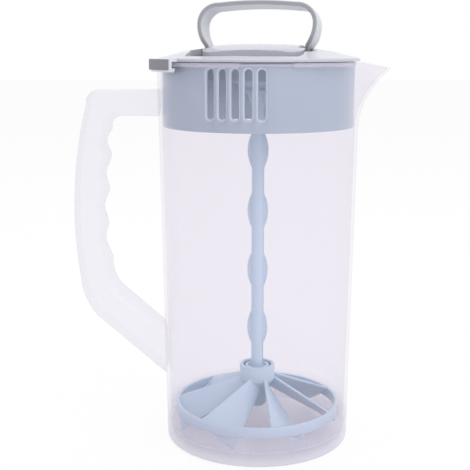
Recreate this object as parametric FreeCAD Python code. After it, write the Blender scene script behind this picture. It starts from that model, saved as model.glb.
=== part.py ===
import FreeCAD, Part
import math
import os

V = FreeCAD.Vector
Z_AXIS = V(0, 0, 1)

# Formula mixing pitcher, in millimetres.
# Origin on the jug's axis at its base, +Z up, +X towards the spout, handle towards -X.

# Jug
JUG_R_BASE = 50.9
JUG_R_RIM = 54.4
JUG_RIM_Z = 209.4
JUG_WALL = 1.9
JUG_FLOOR = 3.0
JUG_CORNER_R = 5.0
JUG_INNER_CORNER_R = 3.4
BEAD_R = 57.0
BEAD_Z = 207.2
BEAD_GAP_AZ = 273.0
BEAD_GAP_WIDTH = 27.0
BEAD_SPOUT_CLEAR = 32.0

# Spout: how far its tip stands from the axis at each height, as a real lip curves out
SPOUT_TIP_CURVE = ((172.0, 53.0), (179.0, 54.9), (186.0, 57.3), (193.0, 61.0), (200.0, 66.0), (206.2, 71.6),
                   (211.0, 76.0))
SPOUT_TIP_R = 5.0
SPOUT_ROOT_X = 40.0
SPOUT_ROOT_HALF = 31.0
SPOUT_LIP_DROP = 3.6

# Handle
HANDLE_WIDTH = 19.0
HANDLE_FLAT = 10.5
HANDLE_FINGER_BEVEL = 4.3
HANDLE_EDGE_BEVEL = 1.2
HANDLE_ROOT_X = -47.0
HANDLE_SLOPE = 41.4
# Side outline: x, z, and the direction in which each point moves as the outline is drawn in
HANDLE_OUTSIDE = ((-85.0, 194.9, 0, -1), (-90.0, 193.0, 0.7, -0.7), (-92.0, 187.6, 1, 0), (-99.9, 124.0, 1, 0),
                  (-97.2, 90.6, 1, 0), (-93.2, 77.4, 0.8, 0.4), (-87.4, 69.8, 0.66, 0.75))
HANDLE_FOOT_BEND = ((-75.2, 85.6, -0.66, -0.75), (-79.4, 92.0, -0.92, -0.35), (-80.6, 102.0, -1, 0))
HANDLE_ARM_BEND = ((-79.4, 173.6, -1, 0), (-77.9, 178.6, -0.75, 0.75), (-73.6, 180.8, 0, 1))
FINGER_WAVE = ((-80.6, 102.0), (-84.4, 112.6), (-82.6, 121.6), (-84.8, 130.8), (-81.8, 140.1), (-83.5, 149.2),
               (-80.2, 158.4), (-82.4, 167.0), (-79.4, 173.6))

# Lid, which is drawn turned on the jug by LID_TURN, as in the reference view
LID_TURN = -14.4
LID_R = 54.0
LID_UNDER_Z = 209.8
LID_EDGE_Z = 211.4
LID_CROWN = (22.6, 217.1)
LID_SHOULDER = (41.0, 214.5)
LID_SLOPE = (47.4, 212.75)
LID_TOP_Z = 218.2
LID_THICK = 2.0
PLUG_R = 49.4
PLUG_THICK = 1.8
PLUG_BOTTOM_Z = 206.8
TUB_FLOOR_Z = 202.0
TUB_WALL = 1.6
TUB_HALF = 28.4
TUB_BACK = 21.6
POCKET_HALF = 33.6
POCKET_FRONT = -31.2
POCKET_BACK = 10.6
TUB_CORNER_R = 7.0
SCOOP_HALF = 29.6
SCOOP_FRONT = -47.4
SCOOP_CORNER_R = 20.0
SCOOP_FLOOR_Z = 212.4
SHAFT_HOLE_R = 6.6

SKIRT_R = 51.3
SKIRT_WALL = 1.9
SKIRT_BOTTOM_Z = 175.3
SLOT_COUNT = 5
SLOT_PITCH = 7.5
SLOT_WIDTH = 3.7
SLOT_BEVEL = 1.0
SLOT_LOW_Z = 181.8
SLOT_HIGH_Z = 206.4
SEAL_R = 52.1
SEAL_SEAT_R = 50.3
SEAL_Z = (207.6, 209.3)
SEAL_LIP = 0.5

CLIP_AZ = 222.2
CLIP_SPAN = 24.0
CLIP_INNER_R = 57.4
CLIP_OUTER_R = 58.6
CLIP_TOP_Z = 211.3
CLIP_BOTTOM_Z = 204.6
CLIP_HOOK_TOP_Z = 206.6
CLIP_HOOK_R = 55.2
CLIP_PAD_THICK = 0.9
CLIP_PAD_BORDER = 1.0
CLIP_PAD_DROP = 0.3
CLIP_HOOK_SLANT = 0.6
CLIP_ROOT_R = 52.5

# Guide bush and wiper under the lid
BUSH_R = 8.8
BUSH_BORE_R = 6.25
BUSH_FLANGE_R = 15.0
BUSH_FOOT_R = 12.0
BUSH_BOTTOM_Z = 193.2
BUSH_FOOT_THICK = 1.4
BUSH_FOOT_SLANT = 1.0
FLANGE_THICK = 2.0
WIPER_THICK = 1.4
WIPER_WIDE = 1.6

# Plunger: the shaft with its fins, and the cap that fills the lid's well
SHAFT_R = 3.4
SHAFT_LOW_Z = 17.6
SHAFT_TOP_Z = 214.0
FIN_FIRST_Z = 62.3
FIN_PITCH = 33.2
FIN_COUNT = 5
FIN_HALF_WIDTH = 5.75
FIN_HALF_LENGTH = 10.6
FIN_THICK = 1.8
CAP_HALF = 27.2
CAP_HALF_DEPTH = 19.8
CAP_CORNER_R = 7.0
CAP_LOW_Z = 202.4
CAP_EDGE_Z = 215.6
CAP_TOP_Z = 218.7
CAP_ROUND = 1.6
CAP_SKIN = 2.2
CAP_RIB_THICK = 3.0
CAP_BOSS_R = 6.0
CAP_NOTCH_X = 23.4
CAP_NOTCH_FRONT = -10.6
CAP_NOTCH_BACK = 8.4

# Bail: an oval arch with round ends, drawn upright from its pivot axis
PIVOT_Z = 211.0
BAIL_FOOT_X = 25.4
# One half of the arch: x, height, and the direction that leads outwards there
BAIL_ARCH = ((25.4, 0.0, 1, 0), (27.4, 6.4, 1, 0), (30.4, 12.2, 0.94, -0.3), (31.2, 17.3, 1, 0),
             (28.6, 24.2, 0.76, 0.65), (21.0, 27.3, 0.2, 1), (0.0, 28.4, 0, 1))
BAIL_TAPER = (1.0, 10.0)
BAIL_THICK = 2.4
BAIL_BAND = 16.5
BAIL_EYE_R = 4.4
BAIL_LEAN = 7.0
GROOVE_COUNT = 3
GROOVE_WIDTH = 1.1
GROOVE_DEPTH = 0.45
PIN_R = 1.75
PIN_FIT = 0.05
PIN_INNER_X = 19.0

# Mixing wheel
WHEEL_R = 45.8
WHEEL_WALL = 1.7
WHEEL_TOP_Z = 20.1
WHEEL_RING = 5.9
BLADE_COUNT = 7
BLADE_FIRST_AZ = 240.0
BLADE_THICK = 1.7
BLADE_ROOT_X = 5.0
BLADE_RING_TOP = (43.0, -9.9, 20.1)
BLADE_RING_LOW = (43.0, 9.9, 7.8)
BLADE_HUB_TOP = (9.9, 0.2, 33.8)
BLADE_HUB_LOW = (9.3, 5.4, 24.9)
HUB_R = 9.9
HUB_TOP_Z = 40.8
HUB_SEAT_Z = 32.0
HUB_SLEEVE_WALL = 2.0
HUB_TUBE_R = 6.6
HUB_LOW_Z = 20.0
HUB_CONE = 4.4
HUB_EASE = 0.5
RUN_CLEAR = 0.35

# Collar and retainer that hold the wheel on the shaft
COLLAR_R = 6.7
COLLAR_TOP_Z = 40.2
COLLAR_EASE = 0.5
COLLAR_DISH_R = 5.2
COLLAR_DISH = 1.5
RETAINER_R = 5.2
RETAINER_LOW_Z = 16.4
RETAINER_EASE = 1.2

# A cutter's reach, past the end of any piece
PAST = 8.0
BIG = 240.0


def arc(points):
    return Part.Arc(*points).toShape()


def revolve(points, start=0.0, sweep=360.0):
    """Solid of revolution about Z from (r, z) corner points."""
    outline = [V(r, 0, z) for r, z in points]
    face = Part.Face(Part.makePolygon(outline + [outline[0]]))
    solid = face.revolve(V(0, 0, 0), Z_AXIS, sweep)
    solid.rotate(V(0, 0, 0), Z_AXIS, start)
    return solid


def ring(r_in, r_out, z_low, z_high, start=0.0, sweep=360.0):
    return revolve(((r_in, z_low), (r_out, z_low), (r_out, z_high), (r_in, z_high)), start, sweep)


def cylinder(radius, z_low, z_high):
    return Part.makeCylinder(radius, z_high - z_low, V(0, 0, z_low))


def rounded_plate(x_half, y_low, y_high, corner, z_low, z_high):
    """Upright prism with a rounded rectangle outline."""
    block = Part.makeBox(2 * x_half, y_high - y_low, z_high - z_low, V(-x_half, y_low, z_low))
    upright = [e for e in block.Edges if abs(e.tangentAt(e.FirstParameter).z) > 0.9]
    return block.makeFillet(corner, upright)


def turned(shape, angle=LID_TURN):
    """The same shape, turned about the jug's axis."""
    copy = shape.copy()
    copy.rotate(V(0, 0, 0), Z_AXIS, angle)
    return copy


def mirror_x(shape):
    return shape.mirror(V(0, 0, 0), V(1, 0, 0))


def jug_radius(z):
    """Outer radius of the drafted wall at a height."""
    return JUG_R_BASE + (JUG_R_RIM - JUG_R_BASE) * z / JUG_RIM_Z


def wall_solid(inset, z_low, z_high, corner):
    """Drafted round body, inset from the outer wall, with a rounded bottom corner."""
    r_low = jug_radius(z_low) - inset
    r_high = jug_radius(z_high) - inset
    bend = math.radians(45)
    knee = V(r_low - corner + corner * math.sin(bend), 0, z_low + corner - corner * math.cos(bend))
    start = V(r_low - corner, 0, z_low)
    side = V(jug_radius(z_low + corner) - inset, 0, z_low + corner)
    top = V(r_high, 0, z_high)
    edges = [Part.makeLine(V(0, 0, z_low), start), arc((start, knee, side)),
             Part.makeLine(side, top), Part.makeLine(top, V(0, 0, z_high)),
             Part.makeLine(V(0, 0, z_high), V(0, 0, z_low))]
    return Part.Face(Part.Wire(edges)).revolve(V(0, 0, 0), Z_AXIS, 360)


def spout_section(z, tip_x, inset):
    """One level outline of the spout: two flanks and a round tip."""
    tip_r = SPOUT_TIP_R - inset
    centre_x = tip_x - SPOUT_TIP_R
    half = SPOUT_ROOT_HALF - inset
    run = centre_x - SPOUT_ROOT_X
    slope = math.atan2(half - tip_r, run)
    touch = V(centre_x + tip_r * math.sin(slope), tip_r * math.cos(slope), z)
    other = V(touch.x, -touch.y, z)
    root = V(SPOUT_ROOT_X, half, z)
    root_other = V(SPOUT_ROOT_X, -half, z)
    tip = V(centre_x + tip_r, 0, z)
    edges = [Part.makeLine(root_other, other), arc((other, tip, touch)),
             Part.makeLine(touch, root), Part.makeLine(root, root_other)]
    return Part.Wire(edges)


def spout_solid(inset):
    sections = [spout_section(z, tip_x, inset) for z, tip_x in SPOUT_TIP_CURVE]
    return Part.makeLoft(sections, True, False)


def make_pitcher_body():
    outside = wall_solid(0, 0, JUG_RIM_Z, JUG_CORNER_R).fuse(spout_solid(0))
    for start, sweep in bead_arcs():
        outside = outside.fuse(ring(JUG_R_RIM - 1, BEAD_R, BEAD_Z, JUG_RIM_Z, start, sweep))
    inside = wall_solid(JUG_WALL, JUG_FLOOR, JUG_RIM_Z + PAST, JUG_INNER_CORNER_R)
    inside = inside.fuse(spout_solid(JUG_WALL))
    body = outside.cut(inside)
    lip = math.degrees(math.atan2(SPOUT_LIP_DROP, SPOUT_TIP_CURVE[-2][1] - JUG_R_RIM))
    above = Part.makeBox(BIG, BIG, BIG, V(0, -BIG / 2, 0))
    above.rotate(V(0, 0, 0), V(0, 1, 0), lip)
    above.translate(V(JUG_R_RIM, 0, JUG_RIM_Z))
    level = Part.makeBox(BIG, BIG, BIG, V(-BIG / 2, -BIG / 2, JUG_RIM_Z))
    return body.cut(above).cut(level).removeSplitter()


def bead_arcs():
    """Start azimuth and sweep of the two stretches of rim bead."""
    gap_low = BEAD_GAP_AZ - BEAD_GAP_WIDTH / 2
    gap_high = BEAD_GAP_AZ + BEAD_GAP_WIDTH / 2
    return ((BEAD_SPOUT_CLEAR, gap_low - BEAD_SPOUT_CLEAR), (gap_high, 360 - BEAD_SPOUT_CLEAR - gap_high))


def drawn_in(point, amount, y):
    x, z, move_x, move_z = point
    return V(x + move_x * amount, y, z + move_z * amount)


def down_slope(point):
    """Where the slanted foot's line from a point ends, inside the jug's wall."""
    run = HANDLE_ROOT_X - point.x
    return V(HANDLE_ROOT_X, point.y, point.z - run * math.tan(math.radians(HANDLE_SLOPE)))


def handle_outline(finger, edge, y):
    """Closed side outline of the handle, drawn in by finger on the grip side and by edge elsewhere."""
    outside = [drawn_in(point, edge, y) for point in HANDLE_OUTSIDE]
    foot_bend = [drawn_in(point, finger, y) for point in HANDLE_FOOT_BEND]
    arm_bend = [drawn_in(point, finger, y) for point in HANDLE_ARM_BEND]
    wave = Part.BSplineCurve()
    wave.interpolate([V(x - finger, y, z) for x, z in FINGER_WAVE])
    top_root = V(HANDLE_ROOT_X, y, outside[0].z)
    arm_root = V(HANDLE_ROOT_X, y, arm_bend[-1].z)
    foot_root = down_slope(outside[-1])
    grip_root = down_slope(foot_bend[0])
    return Part.Wire([Part.makeLine(top_root, outside[0]), arc(outside[:3]), arc(outside[2:5]),
                      arc(outside[4:]), Part.makeLine(outside[-1], foot_root),
                      Part.makeLine(foot_root, grip_root), Part.makeLine(grip_root, foot_bend[0]),
                      arc(foot_bend), wave.toShape(), arc(arm_bend),
                      Part.makeLine(arm_bend[-1], arm_root), Part.makeLine(arm_root, top_root)])


def make_handle():
    flat = HANDLE_FLAT / 2
    side = HANDLE_WIDTH / 2
    core = Part.Face(handle_outline(0, 0, -flat)).extrude(V(0, 2 * flat, 0))
    for y_flat, y_side in ((flat, side), (-flat, -side)):
        full = handle_outline(0, 0, y_flat)
        narrow = handle_outline(HANDLE_FINGER_BEVEL, HANDLE_EDGE_BEVEL, y_side)
        core = core.fuse(Part.makeLoft([full, narrow], True, True))
    jug = wall_solid(0, 0, JUG_RIM_Z, JUG_CORNER_R)
    return core.cut(jug)


def dome_profile(drop, r_edge):
    """Outline of the lid's dome from its edge to the axis, lowered by drop."""
    shoulder_r, shoulder_z = LID_SHOULDER
    shoulder = V(shoulder_r, 0, shoulder_z - drop)
    rim = V(r_edge, 0, LID_EDGE_Z - drop)
    crown = arc((V(0, 0, LID_TOP_Z - drop), V(LID_CROWN[0], 0, LID_CROWN[1] - drop), shoulder))
    slope = arc((shoulder, V(LID_SLOPE[0], 0, LID_SLOPE[1] - drop), rim))
    return crown, slope, rim


def dome_solid(drop, r_edge, z_low):
    crown, slope, rim = dome_profile(drop, r_edge)
    edges = [crown, slope, Part.makeLine(rim, V(r_edge, 0, z_low)),
             Part.makeLine(V(r_edge, 0, z_low), V(0, 0, z_low)),
             Part.makeLine(V(0, 0, z_low), V(0, 0, LID_TOP_Z - drop))]
    return Part.Face(Part.Wire(edges)).revolve(V(0, 0, 0), Z_AXIS, 360)


def tub(grow, z_low, z_high):
    """Recess of the lid: a well for the cap, and a wider pocket that the folded bail lies in."""
    well = rounded_plate(TUB_HALF + grow, -TUB_BACK, TUB_BACK + grow, TUB_CORNER_R, z_low, z_high)
    pocket = rounded_plate(POCKET_HALF + grow, POCKET_FRONT - grow, POCKET_BACK + grow, TUB_CORNER_R + grow,
                           z_low, z_high)
    return well.fuse(pocket).removeSplitter()


def scoop(grow, z_low):
    """Flat shelf in the dome, in front of the pocket, where a fingertip gets under the folded bail."""
    return rounded_plate(SCOOP_HALF + grow, SCOOP_FRONT - grow, POCKET_BACK - grow, SCOOP_CORNER_R, z_low,
                         LID_TOP_Z + PAST)


def make_lid_cover():
    whole = dome_solid(0, LID_R, LID_UNDER_Z)
    shell = whole.cut(dome_solid(LID_THICK, PLUG_R - PLUG_THICK, LID_UNDER_Z - PAST))
    shell = shell.fuse(ring(PLUG_R - PLUG_THICK, PLUG_R, PLUG_BOTTOM_Z, LID_UNDER_Z + LID_THICK / 2))
    tub_bottom = TUB_FLOOR_Z - TUB_WALL
    under = tub(TUB_WALL, tub_bottom, LID_TOP_Z + PAST)
    under = under.fuse(scoop(TUB_WALL, SCOOP_FLOOR_Z - TUB_WALL))
    shell = shell.fuse(under.common(dome_solid(0, PLUG_R, tub_bottom)))
    shell = shell.cut(tub(0, TUB_FLOOR_Z, LID_TOP_Z + PAST)).cut(scoop(0, SCOOP_FLOOR_Z))
    shell = shell.cut(cylinder(SHAFT_HOLE_R, TUB_FLOOR_Z - PAST, TUB_FLOOR_Z + 1))
    return turned(shell.fuse(clip_bracket()).removeSplitter())


def clip_bracket():
    """Bracket that passes over the rim bead and hooks under it."""
    start = CLIP_AZ - CLIP_SPAN / 2
    points = ((CLIP_ROOT_R, LID_UNDER_Z), (CLIP_INNER_R, LID_UNDER_Z), (CLIP_INNER_R, CLIP_HOOK_TOP_Z),
              (CLIP_HOOK_R, CLIP_HOOK_TOP_Z), (CLIP_HOOK_R + CLIP_HOOK_SLANT, CLIP_BOTTOM_Z),
              (CLIP_OUTER_R, CLIP_BOTTOM_Z), (CLIP_OUTER_R, CLIP_TOP_Z), (CLIP_ROOT_R, CLIP_TOP_Z))
    return revolve(points, start, CLIP_SPAN)


def make_clip_pad():
    border = math.degrees(CLIP_PAD_BORDER / CLIP_OUTER_R)
    start = CLIP_AZ - CLIP_SPAN / 2
    pad = ring(CLIP_OUTER_R, CLIP_OUTER_R + CLIP_PAD_THICK, CLIP_BOTTOM_Z + CLIP_PAD_BORDER,
               CLIP_TOP_Z - CLIP_PAD_DROP, start, CLIP_SPAN - border)
    return turned(pad)


def slot_cutter(azimuth):
    """Upright round-ended slot with a bevel at its outer face, cut along a radius."""
    half = SLOT_WIDTH / 2
    through = Part.Face(slot_wire(half, -SKIRT_R - 1)).extrude(V(0, PAST, 0))
    mouth = slot_wire(half + 2 * SLOT_BEVEL, -SKIRT_R - SLOT_BEVEL)
    waist = slot_wire(half, -SKIRT_R + SLOT_BEVEL)
    cutter = through.fuse(Part.makeLoft([mouth, waist], True, True))
    cutter.rotate(V(0, 0, 0), Z_AXIS, azimuth - 270)
    return cutter


def slot_wire(half, y):
    """Round-ended outline of a slot in the plane at y, for any half width about the same two centres."""
    low = SLOT_LOW_Z + SLOT_WIDTH / 2
    high = SLOT_HIGH_Z - SLOT_WIDTH / 2
    return Part.Wire([Part.makeLine(V(half, y, low), V(half, y, high)),
                      arc((V(half, y, high), V(0, y, high + half), V(-half, y, high))),
                      Part.makeLine(V(-half, y, high), V(-half, y, low)),
                      arc((V(-half, y, low), V(0, y, low - half), V(half, y, low)))])


def make_lid_skirt():
    points = ((SKIRT_R - SKIRT_WALL, SKIRT_BOTTOM_Z), (SKIRT_R, SKIRT_BOTTOM_Z), (SKIRT_R, SEAL_Z[0]),
              (SEAL_SEAT_R, SEAL_Z[0]), (SEAL_SEAT_R, LID_UNDER_Z), (SKIRT_R - SKIRT_WALL, LID_UNDER_Z))
    skirt = revolve(points)
    for index in range(SLOT_COUNT):
        offset = (index - (SLOT_COUNT - 1) / 2) * SLOT_PITCH
        skirt = skirt.cut(slot_cutter(270 + offset))
    return turned(skirt)


def make_lid_seal():
    mid_z = (SEAL_Z[0] + SEAL_Z[1]) / 2
    return revolve(((SEAL_SEAT_R, SEAL_Z[0]), (SEAL_R - SEAL_LIP, SEAL_Z[0]), (SEAL_R, mid_z),
                    (SEAL_R - SEAL_LIP, SEAL_Z[1]), (SEAL_SEAT_R, SEAL_Z[1])))


def make_guide_bush():
    top = TUB_FLOOR_Z - TUB_WALL
    foot_top = BUSH_BOTTOM_Z + BUSH_FOOT_THICK
    points = ((BUSH_BORE_R, BUSH_BOTTOM_Z), (BUSH_FOOT_R, BUSH_BOTTOM_Z), (BUSH_FOOT_R, foot_top),
              (BUSH_R, foot_top + BUSH_FOOT_SLANT), (BUSH_R, top - FLANGE_THICK),
              (BUSH_FLANGE_R, top - FLANGE_THICK), (BUSH_FLANGE_R, top), (BUSH_BORE_R + WIPER_WIDE, top),
              (BUSH_BORE_R + WIPER_WIDE, top - WIPER_THICK), (BUSH_BORE_R, top - WIPER_THICK))
    return revolve(points)


def make_shaft_wiper():
    top = TUB_FLOOR_Z - TUB_WALL
    return ring(BUSH_BORE_R, BUSH_BORE_R + WIPER_WIDE, top - WIPER_THICK, top)


def fin(z_mid):
    """Flat leaf-shaped fin on both sides of the shaft."""
    half = FIN_THICK / 2
    low = V(0, -half, z_mid - FIN_HALF_LENGTH)
    high = V(0, -half, z_mid + FIN_HALF_LENGTH)
    right = arc((low, V(FIN_HALF_WIDTH, -half, z_mid), high))
    left = arc((high, V(-FIN_HALF_WIDTH, -half, z_mid), low))
    return Part.Face(Part.Wire([right, left])).extrude(V(0, FIN_THICK, 0))


def make_mixer_shaft():
    shaft = cylinder(SHAFT_R, SHAFT_LOW_Z, SHAFT_TOP_Z)
    for index in range(FIN_COUNT):
        shaft = shaft.fuse(fin(FIN_FIRST_Z + index * FIN_PITCH))
    return turned(shaft.removeSplitter())


def crowned_block():
    """Rounded block with a spherical crown and an eased upper edge."""
    block = rounded_plate(CAP_HALF, -CAP_HALF_DEPTH, CAP_HALF_DEPTH, CAP_CORNER_R, CAP_LOW_Z, CAP_TOP_Z + 1)
    rise = CAP_TOP_Z - CAP_EDGE_Z
    crown_r = (CAP_HALF ** 2 + rise ** 2) / (2 * rise)
    block = block.common(Part.makeSphere(crown_r, V(0, 0, CAP_TOP_Z - crown_r)))
    rim = [e for e in block.Edges if e.BoundBox.ZMin > CAP_EDGE_Z - 1]
    return block.makeFillet(CAP_ROUND, rim)


def make_plunger_cap():
    roof_z = CAP_EDGE_Z - CAP_SKIN
    inner = rounded_plate(CAP_NOTCH_X - CAP_SKIN, -CAP_HALF_DEPTH + CAP_SKIN, CAP_HALF_DEPTH - CAP_SKIN,
                          CAP_CORNER_R - CAP_SKIN, CAP_LOW_Z - 1, roof_z)
    block = crowned_block().cut(inner)
    boss = cylinder(CAP_BOSS_R, CAP_LOW_Z, roof_z + 1)
    block = block.fuse(boss).cut(cylinder(SHAFT_R, CAP_LOW_Z - 1, SHAFT_TOP_Z))
    rib_wide = CAP_NOTCH_X - PIN_INNER_X
    for side in (1, -1):
        lug = Part.makeCylinder(BAIL_EYE_R, rib_wide, V(side * PIN_INNER_X, 0, PIVOT_Z), V(side, 0, 0))
        rib = Part.makeBox(rib_wide, CAP_RIB_THICK, roof_z - PIVOT_Z,
                           V(min(side * PIN_INNER_X, side * CAP_NOTCH_X), -CAP_RIB_THICK / 2, PIVOT_Z))
        bore_start = V(side * (PIN_INNER_X - 1), 0, PIVOT_Z)
        bore = Part.makeCylinder(PIN_R + PIN_FIT, CAP_HALF, bore_start, V(side, 0, 0))
        block = block.fuse(lug.fuse(rib)).cut(cap_notch(side)).cut(bore)
    return turned(block.removeSplitter())


def cap_notch(side):
    """Room beside the cap for one foot of the bail, upright and folded."""
    deep = CAP_HALF + PAST - CAP_NOTCH_X
    low_x = CAP_NOTCH_X if side > 0 else -CAP_NOTCH_X - deep
    tall = CAP_TOP_Z - CAP_LOW_Z + 2 * PAST
    corner = V(low_x, CAP_NOTCH_FRONT, CAP_LOW_Z - PAST)
    return Part.makeBox(deep, CAP_NOTCH_BACK - CAP_NOTCH_FRONT, tall, corner)


def bail_arch(offset):
    """Arch seen from the front, from foot to foot, as edges moved outwards by offset."""
    right = [V(x + out_x * offset, 0, z + out_z * offset) for x, z, out_x, out_z in BAIL_ARCH]
    left = [V(-point.x, 0, point.z) for point in right]
    crown = arc((left[5], left[6], right[5]))
    return ([Part.makeLine(left[0], left[1]), arc(left[1:4]), arc(left[3:6]), crown]
            + [arc(right[3:6][::-1]), arc(right[1:4][::-1]), Part.makeLine(right[1], right[0])])


def bail_band(inner, outer, y_low, y_high):
    """Strap between two offsets of the arch."""
    outer_edges = bail_arch(outer)
    inner_edges = bail_arch(inner)
    left_end = Part.makeLine(outer_edges[0].Vertexes[0].Point, inner_edges[0].Vertexes[0].Point)
    right_end = Part.makeLine(outer_edges[-1].Vertexes[1].Point, inner_edges[-1].Vertexes[1].Point)
    outline = Part.Wire(Part.__sortEdges__(outer_edges + inner_edges + [left_end, right_end]))
    band = Part.Face(outline).extrude(V(0, y_high - y_low, 0))
    band.translate(V(0, y_low, 0))
    return band


def make_bail_handle():
    half = BAIL_THICK / 2
    side_y = BAIL_BAND / 2
    band = bail_band(-half, half, -side_y, side_y)
    for index in range(GROOVE_COUNT):
        y = (index - (GROOVE_COUNT - 1) / 2) * BAIL_BAND / (GROOVE_COUNT + 1)
        band = band.cut(bail_band(half - GROOVE_DEPTH, half + 1, y - GROOVE_WIDTH / 2, y + GROOVE_WIDTH / 2))
    for side in (1, -1):
        eye = Part.makeCylinder(BAIL_EYE_R, BAIL_THICK, V(side * (BAIL_FOOT_X - half), 0, 0), V(side, 0, 0))
        band = band.fuse(eye)
        band = band.cut(foot_trim(side))
    for side in (1, -1):
        bore_start = V(side * (BAIL_FOOT_X - PAST / 2), 0, 0)
        bore = Part.makeCylinder(PIN_R, BAIL_THICK + PAST, bore_start, V(side, 0, 0))
        band = band.cut(bore)
    return placed_bail(band.removeSplitter())


def foot_trim(side):
    """Cutter that narrows the strap towards its pivot eyes, on one side of its width."""
    low, high = BAIL_TAPER
    beyond = BAIL_BAND / 2 + PAST
    corners = [(BAIL_EYE_R, -PAST), (BAIL_EYE_R, low), (BAIL_BAND / 2, high), (beyond, high), (beyond, -PAST)]
    outline = [V(-BIG / 2, side * y, z) for y, z in corners]
    return Part.Face(Part.makePolygon(outline + [outline[0]])).extrude(V(BIG, 0, 0))


def placed_bail(shape):
    """From the bail's own frame, pivot at the origin, to its place on the turned lid."""
    shape.rotate(V(0, 0, 0), V(1, 0, 0), -BAIL_LEAN)
    shape.translate(V(0, 0, PIVOT_Z))
    return turned(shape)


def make_bail_pins():
    outer_x = BAIL_FOOT_X + BAIL_THICK / 2
    right = Part.makeCylinder(PIN_R, outer_x - PIN_INNER_X, V(PIN_INNER_X, 0, 0), V(1, 0, 0))
    return placed_bail(Part.makeCompound([right, mirror_x(right)]))


def blade_section(top, low, x):
    """Slanted cross-section of a blade in the plane at x."""
    upper = V(x, top[1], top[2])
    lower = V(x, low[1], low[2])
    run = (lower - upper).normalize()
    side = V(0, -run.z, run.y) * (BLADE_THICK / 2)
    corners = [upper + side, lower + side, lower - side, upper - side]
    return Part.makePolygon(corners + [corners[0]])


def lerp_point(a, b, x):
    share = (x - a[0]) / (b[0] - a[0])
    return tuple(p + (q - p) * share for p, q in zip(a, b))


def blade():
    """Twisted blade between the hub and the ring, in a frame with X along its own radius."""
    sections = []
    for x in (BLADE_ROOT_X, WHEEL_R):
        top = lerp_point(BLADE_HUB_TOP, BLADE_RING_TOP, x)
        low = lerp_point(BLADE_HUB_LOW, BLADE_RING_LOW, x)
        sections.append(blade_section(top, low, x))
    solid = Part.makeLoft(sections, True, True)
    return solid.common(cylinder(WHEEL_R - WHEEL_WALL / 2, 0, HUB_TOP_Z))


def make_mixing_wheel():
    wheel = ring(WHEEL_R - WHEEL_WALL, WHEEL_R, WHEEL_TOP_Z - WHEEL_RING, WHEEL_TOP_Z)
    bore_r = SHAFT_R + RUN_CLEAR
    hub = revolve(((0, HUB_LOW_Z), (HUB_TUBE_R - HUB_EASE, HUB_LOW_Z), (HUB_TUBE_R, HUB_LOW_Z + HUB_EASE),
                   (HUB_TUBE_R, HUB_SEAT_Z - HUB_CONE), (HUB_R, HUB_SEAT_Z), (HUB_R, HUB_TOP_Z - HUB_EASE),
                   (HUB_R - HUB_EASE, HUB_TOP_Z), (0, HUB_TOP_Z)))
    wheel = wheel.fuse(hub)
    one = blade()
    for index in range(BLADE_COUNT):
        wheel = wheel.fuse(turned(one, BLADE_FIRST_AZ + index * 360 / BLADE_COUNT))
    wheel = wheel.cut(cylinder(bore_r, 0, HUB_TOP_Z + 1))
    wheel = wheel.cut(cylinder(HUB_R - HUB_SLEEVE_WALL, HUB_SEAT_Z, HUB_TOP_Z + 1))
    return wheel.removeSplitter()


def make_wheel_collar():
    low = HUB_SEAT_Z + RUN_CLEAR
    dish = COLLAR_TOP_Z - COLLAR_DISH
    return revolve(((SHAFT_R, low), (COLLAR_R, low), (COLLAR_R, COLLAR_TOP_Z - COLLAR_EASE),
                    (COLLAR_R - COLLAR_EASE, COLLAR_TOP_Z), (COLLAR_DISH_R, COLLAR_TOP_Z),
                    (COLLAR_DISH_R - COLLAR_EASE, dish), (SHAFT_R, dish)))


def make_wheel_retainer():
    top = HUB_LOW_Z - RUN_CLEAR
    return revolve(((SHAFT_R, SHAFT_LOW_Z), (0, SHAFT_LOW_Z), (0, RETAINER_LOW_Z),
                    (RETAINER_R - RETAINER_EASE, RETAINER_LOW_Z), (RETAINER_R, RETAINER_LOW_Z + RETAINER_EASE),
                    (RETAINER_R, top), (SHAFT_R, top)))


def main():
    os.makedirs("parts", exist_ok=True)
    pieces = {
        "pitcher_body": make_pitcher_body(), "handle": make_handle(), "lid_cover": make_lid_cover(),
        "lid_skirt": make_lid_skirt(), "lid_seal": make_lid_seal(), "clip_pad": make_clip_pad(),
        "guide_bush": make_guide_bush(), "shaft_wiper": make_shaft_wiper(), "mixer_shaft": make_mixer_shaft(),
        "plunger_cap": make_plunger_cap(), "bail_handle": make_bail_handle(), "bail_pins": make_bail_pins(),
        "mixing_wheel": make_mixing_wheel(), "wheel_collar": make_wheel_collar(),
        "wheel_retainer": make_wheel_retainer(),
    }
    for name, shape in pieces.items():
        shape.exportStep("parts/" + name + ".step")
        box = shape.BoundBox
        print(name, len(shape.Solids), shape.isValid(), round(shape.Volume),
              [round(v, 1) for v in (box.XMin, box.XMax, box.YMin, box.YMax, box.ZMin, box.ZMax)])


main()
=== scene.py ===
# %% [markdown]
# A formula mixing pitcher: a clear jug, a lid that turns, and a plunger that pumps a bladed wheel.
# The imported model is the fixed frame. Each piece here is built in metres in that same frame,
# so the wheel stands where the shaft carries it and nothing has to be fitted afterwards.

# %% Frame, and the box that the model may fill
import cmath
import math

import bmesh
import bpy
from mathutils import Matrix, Vector


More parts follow.
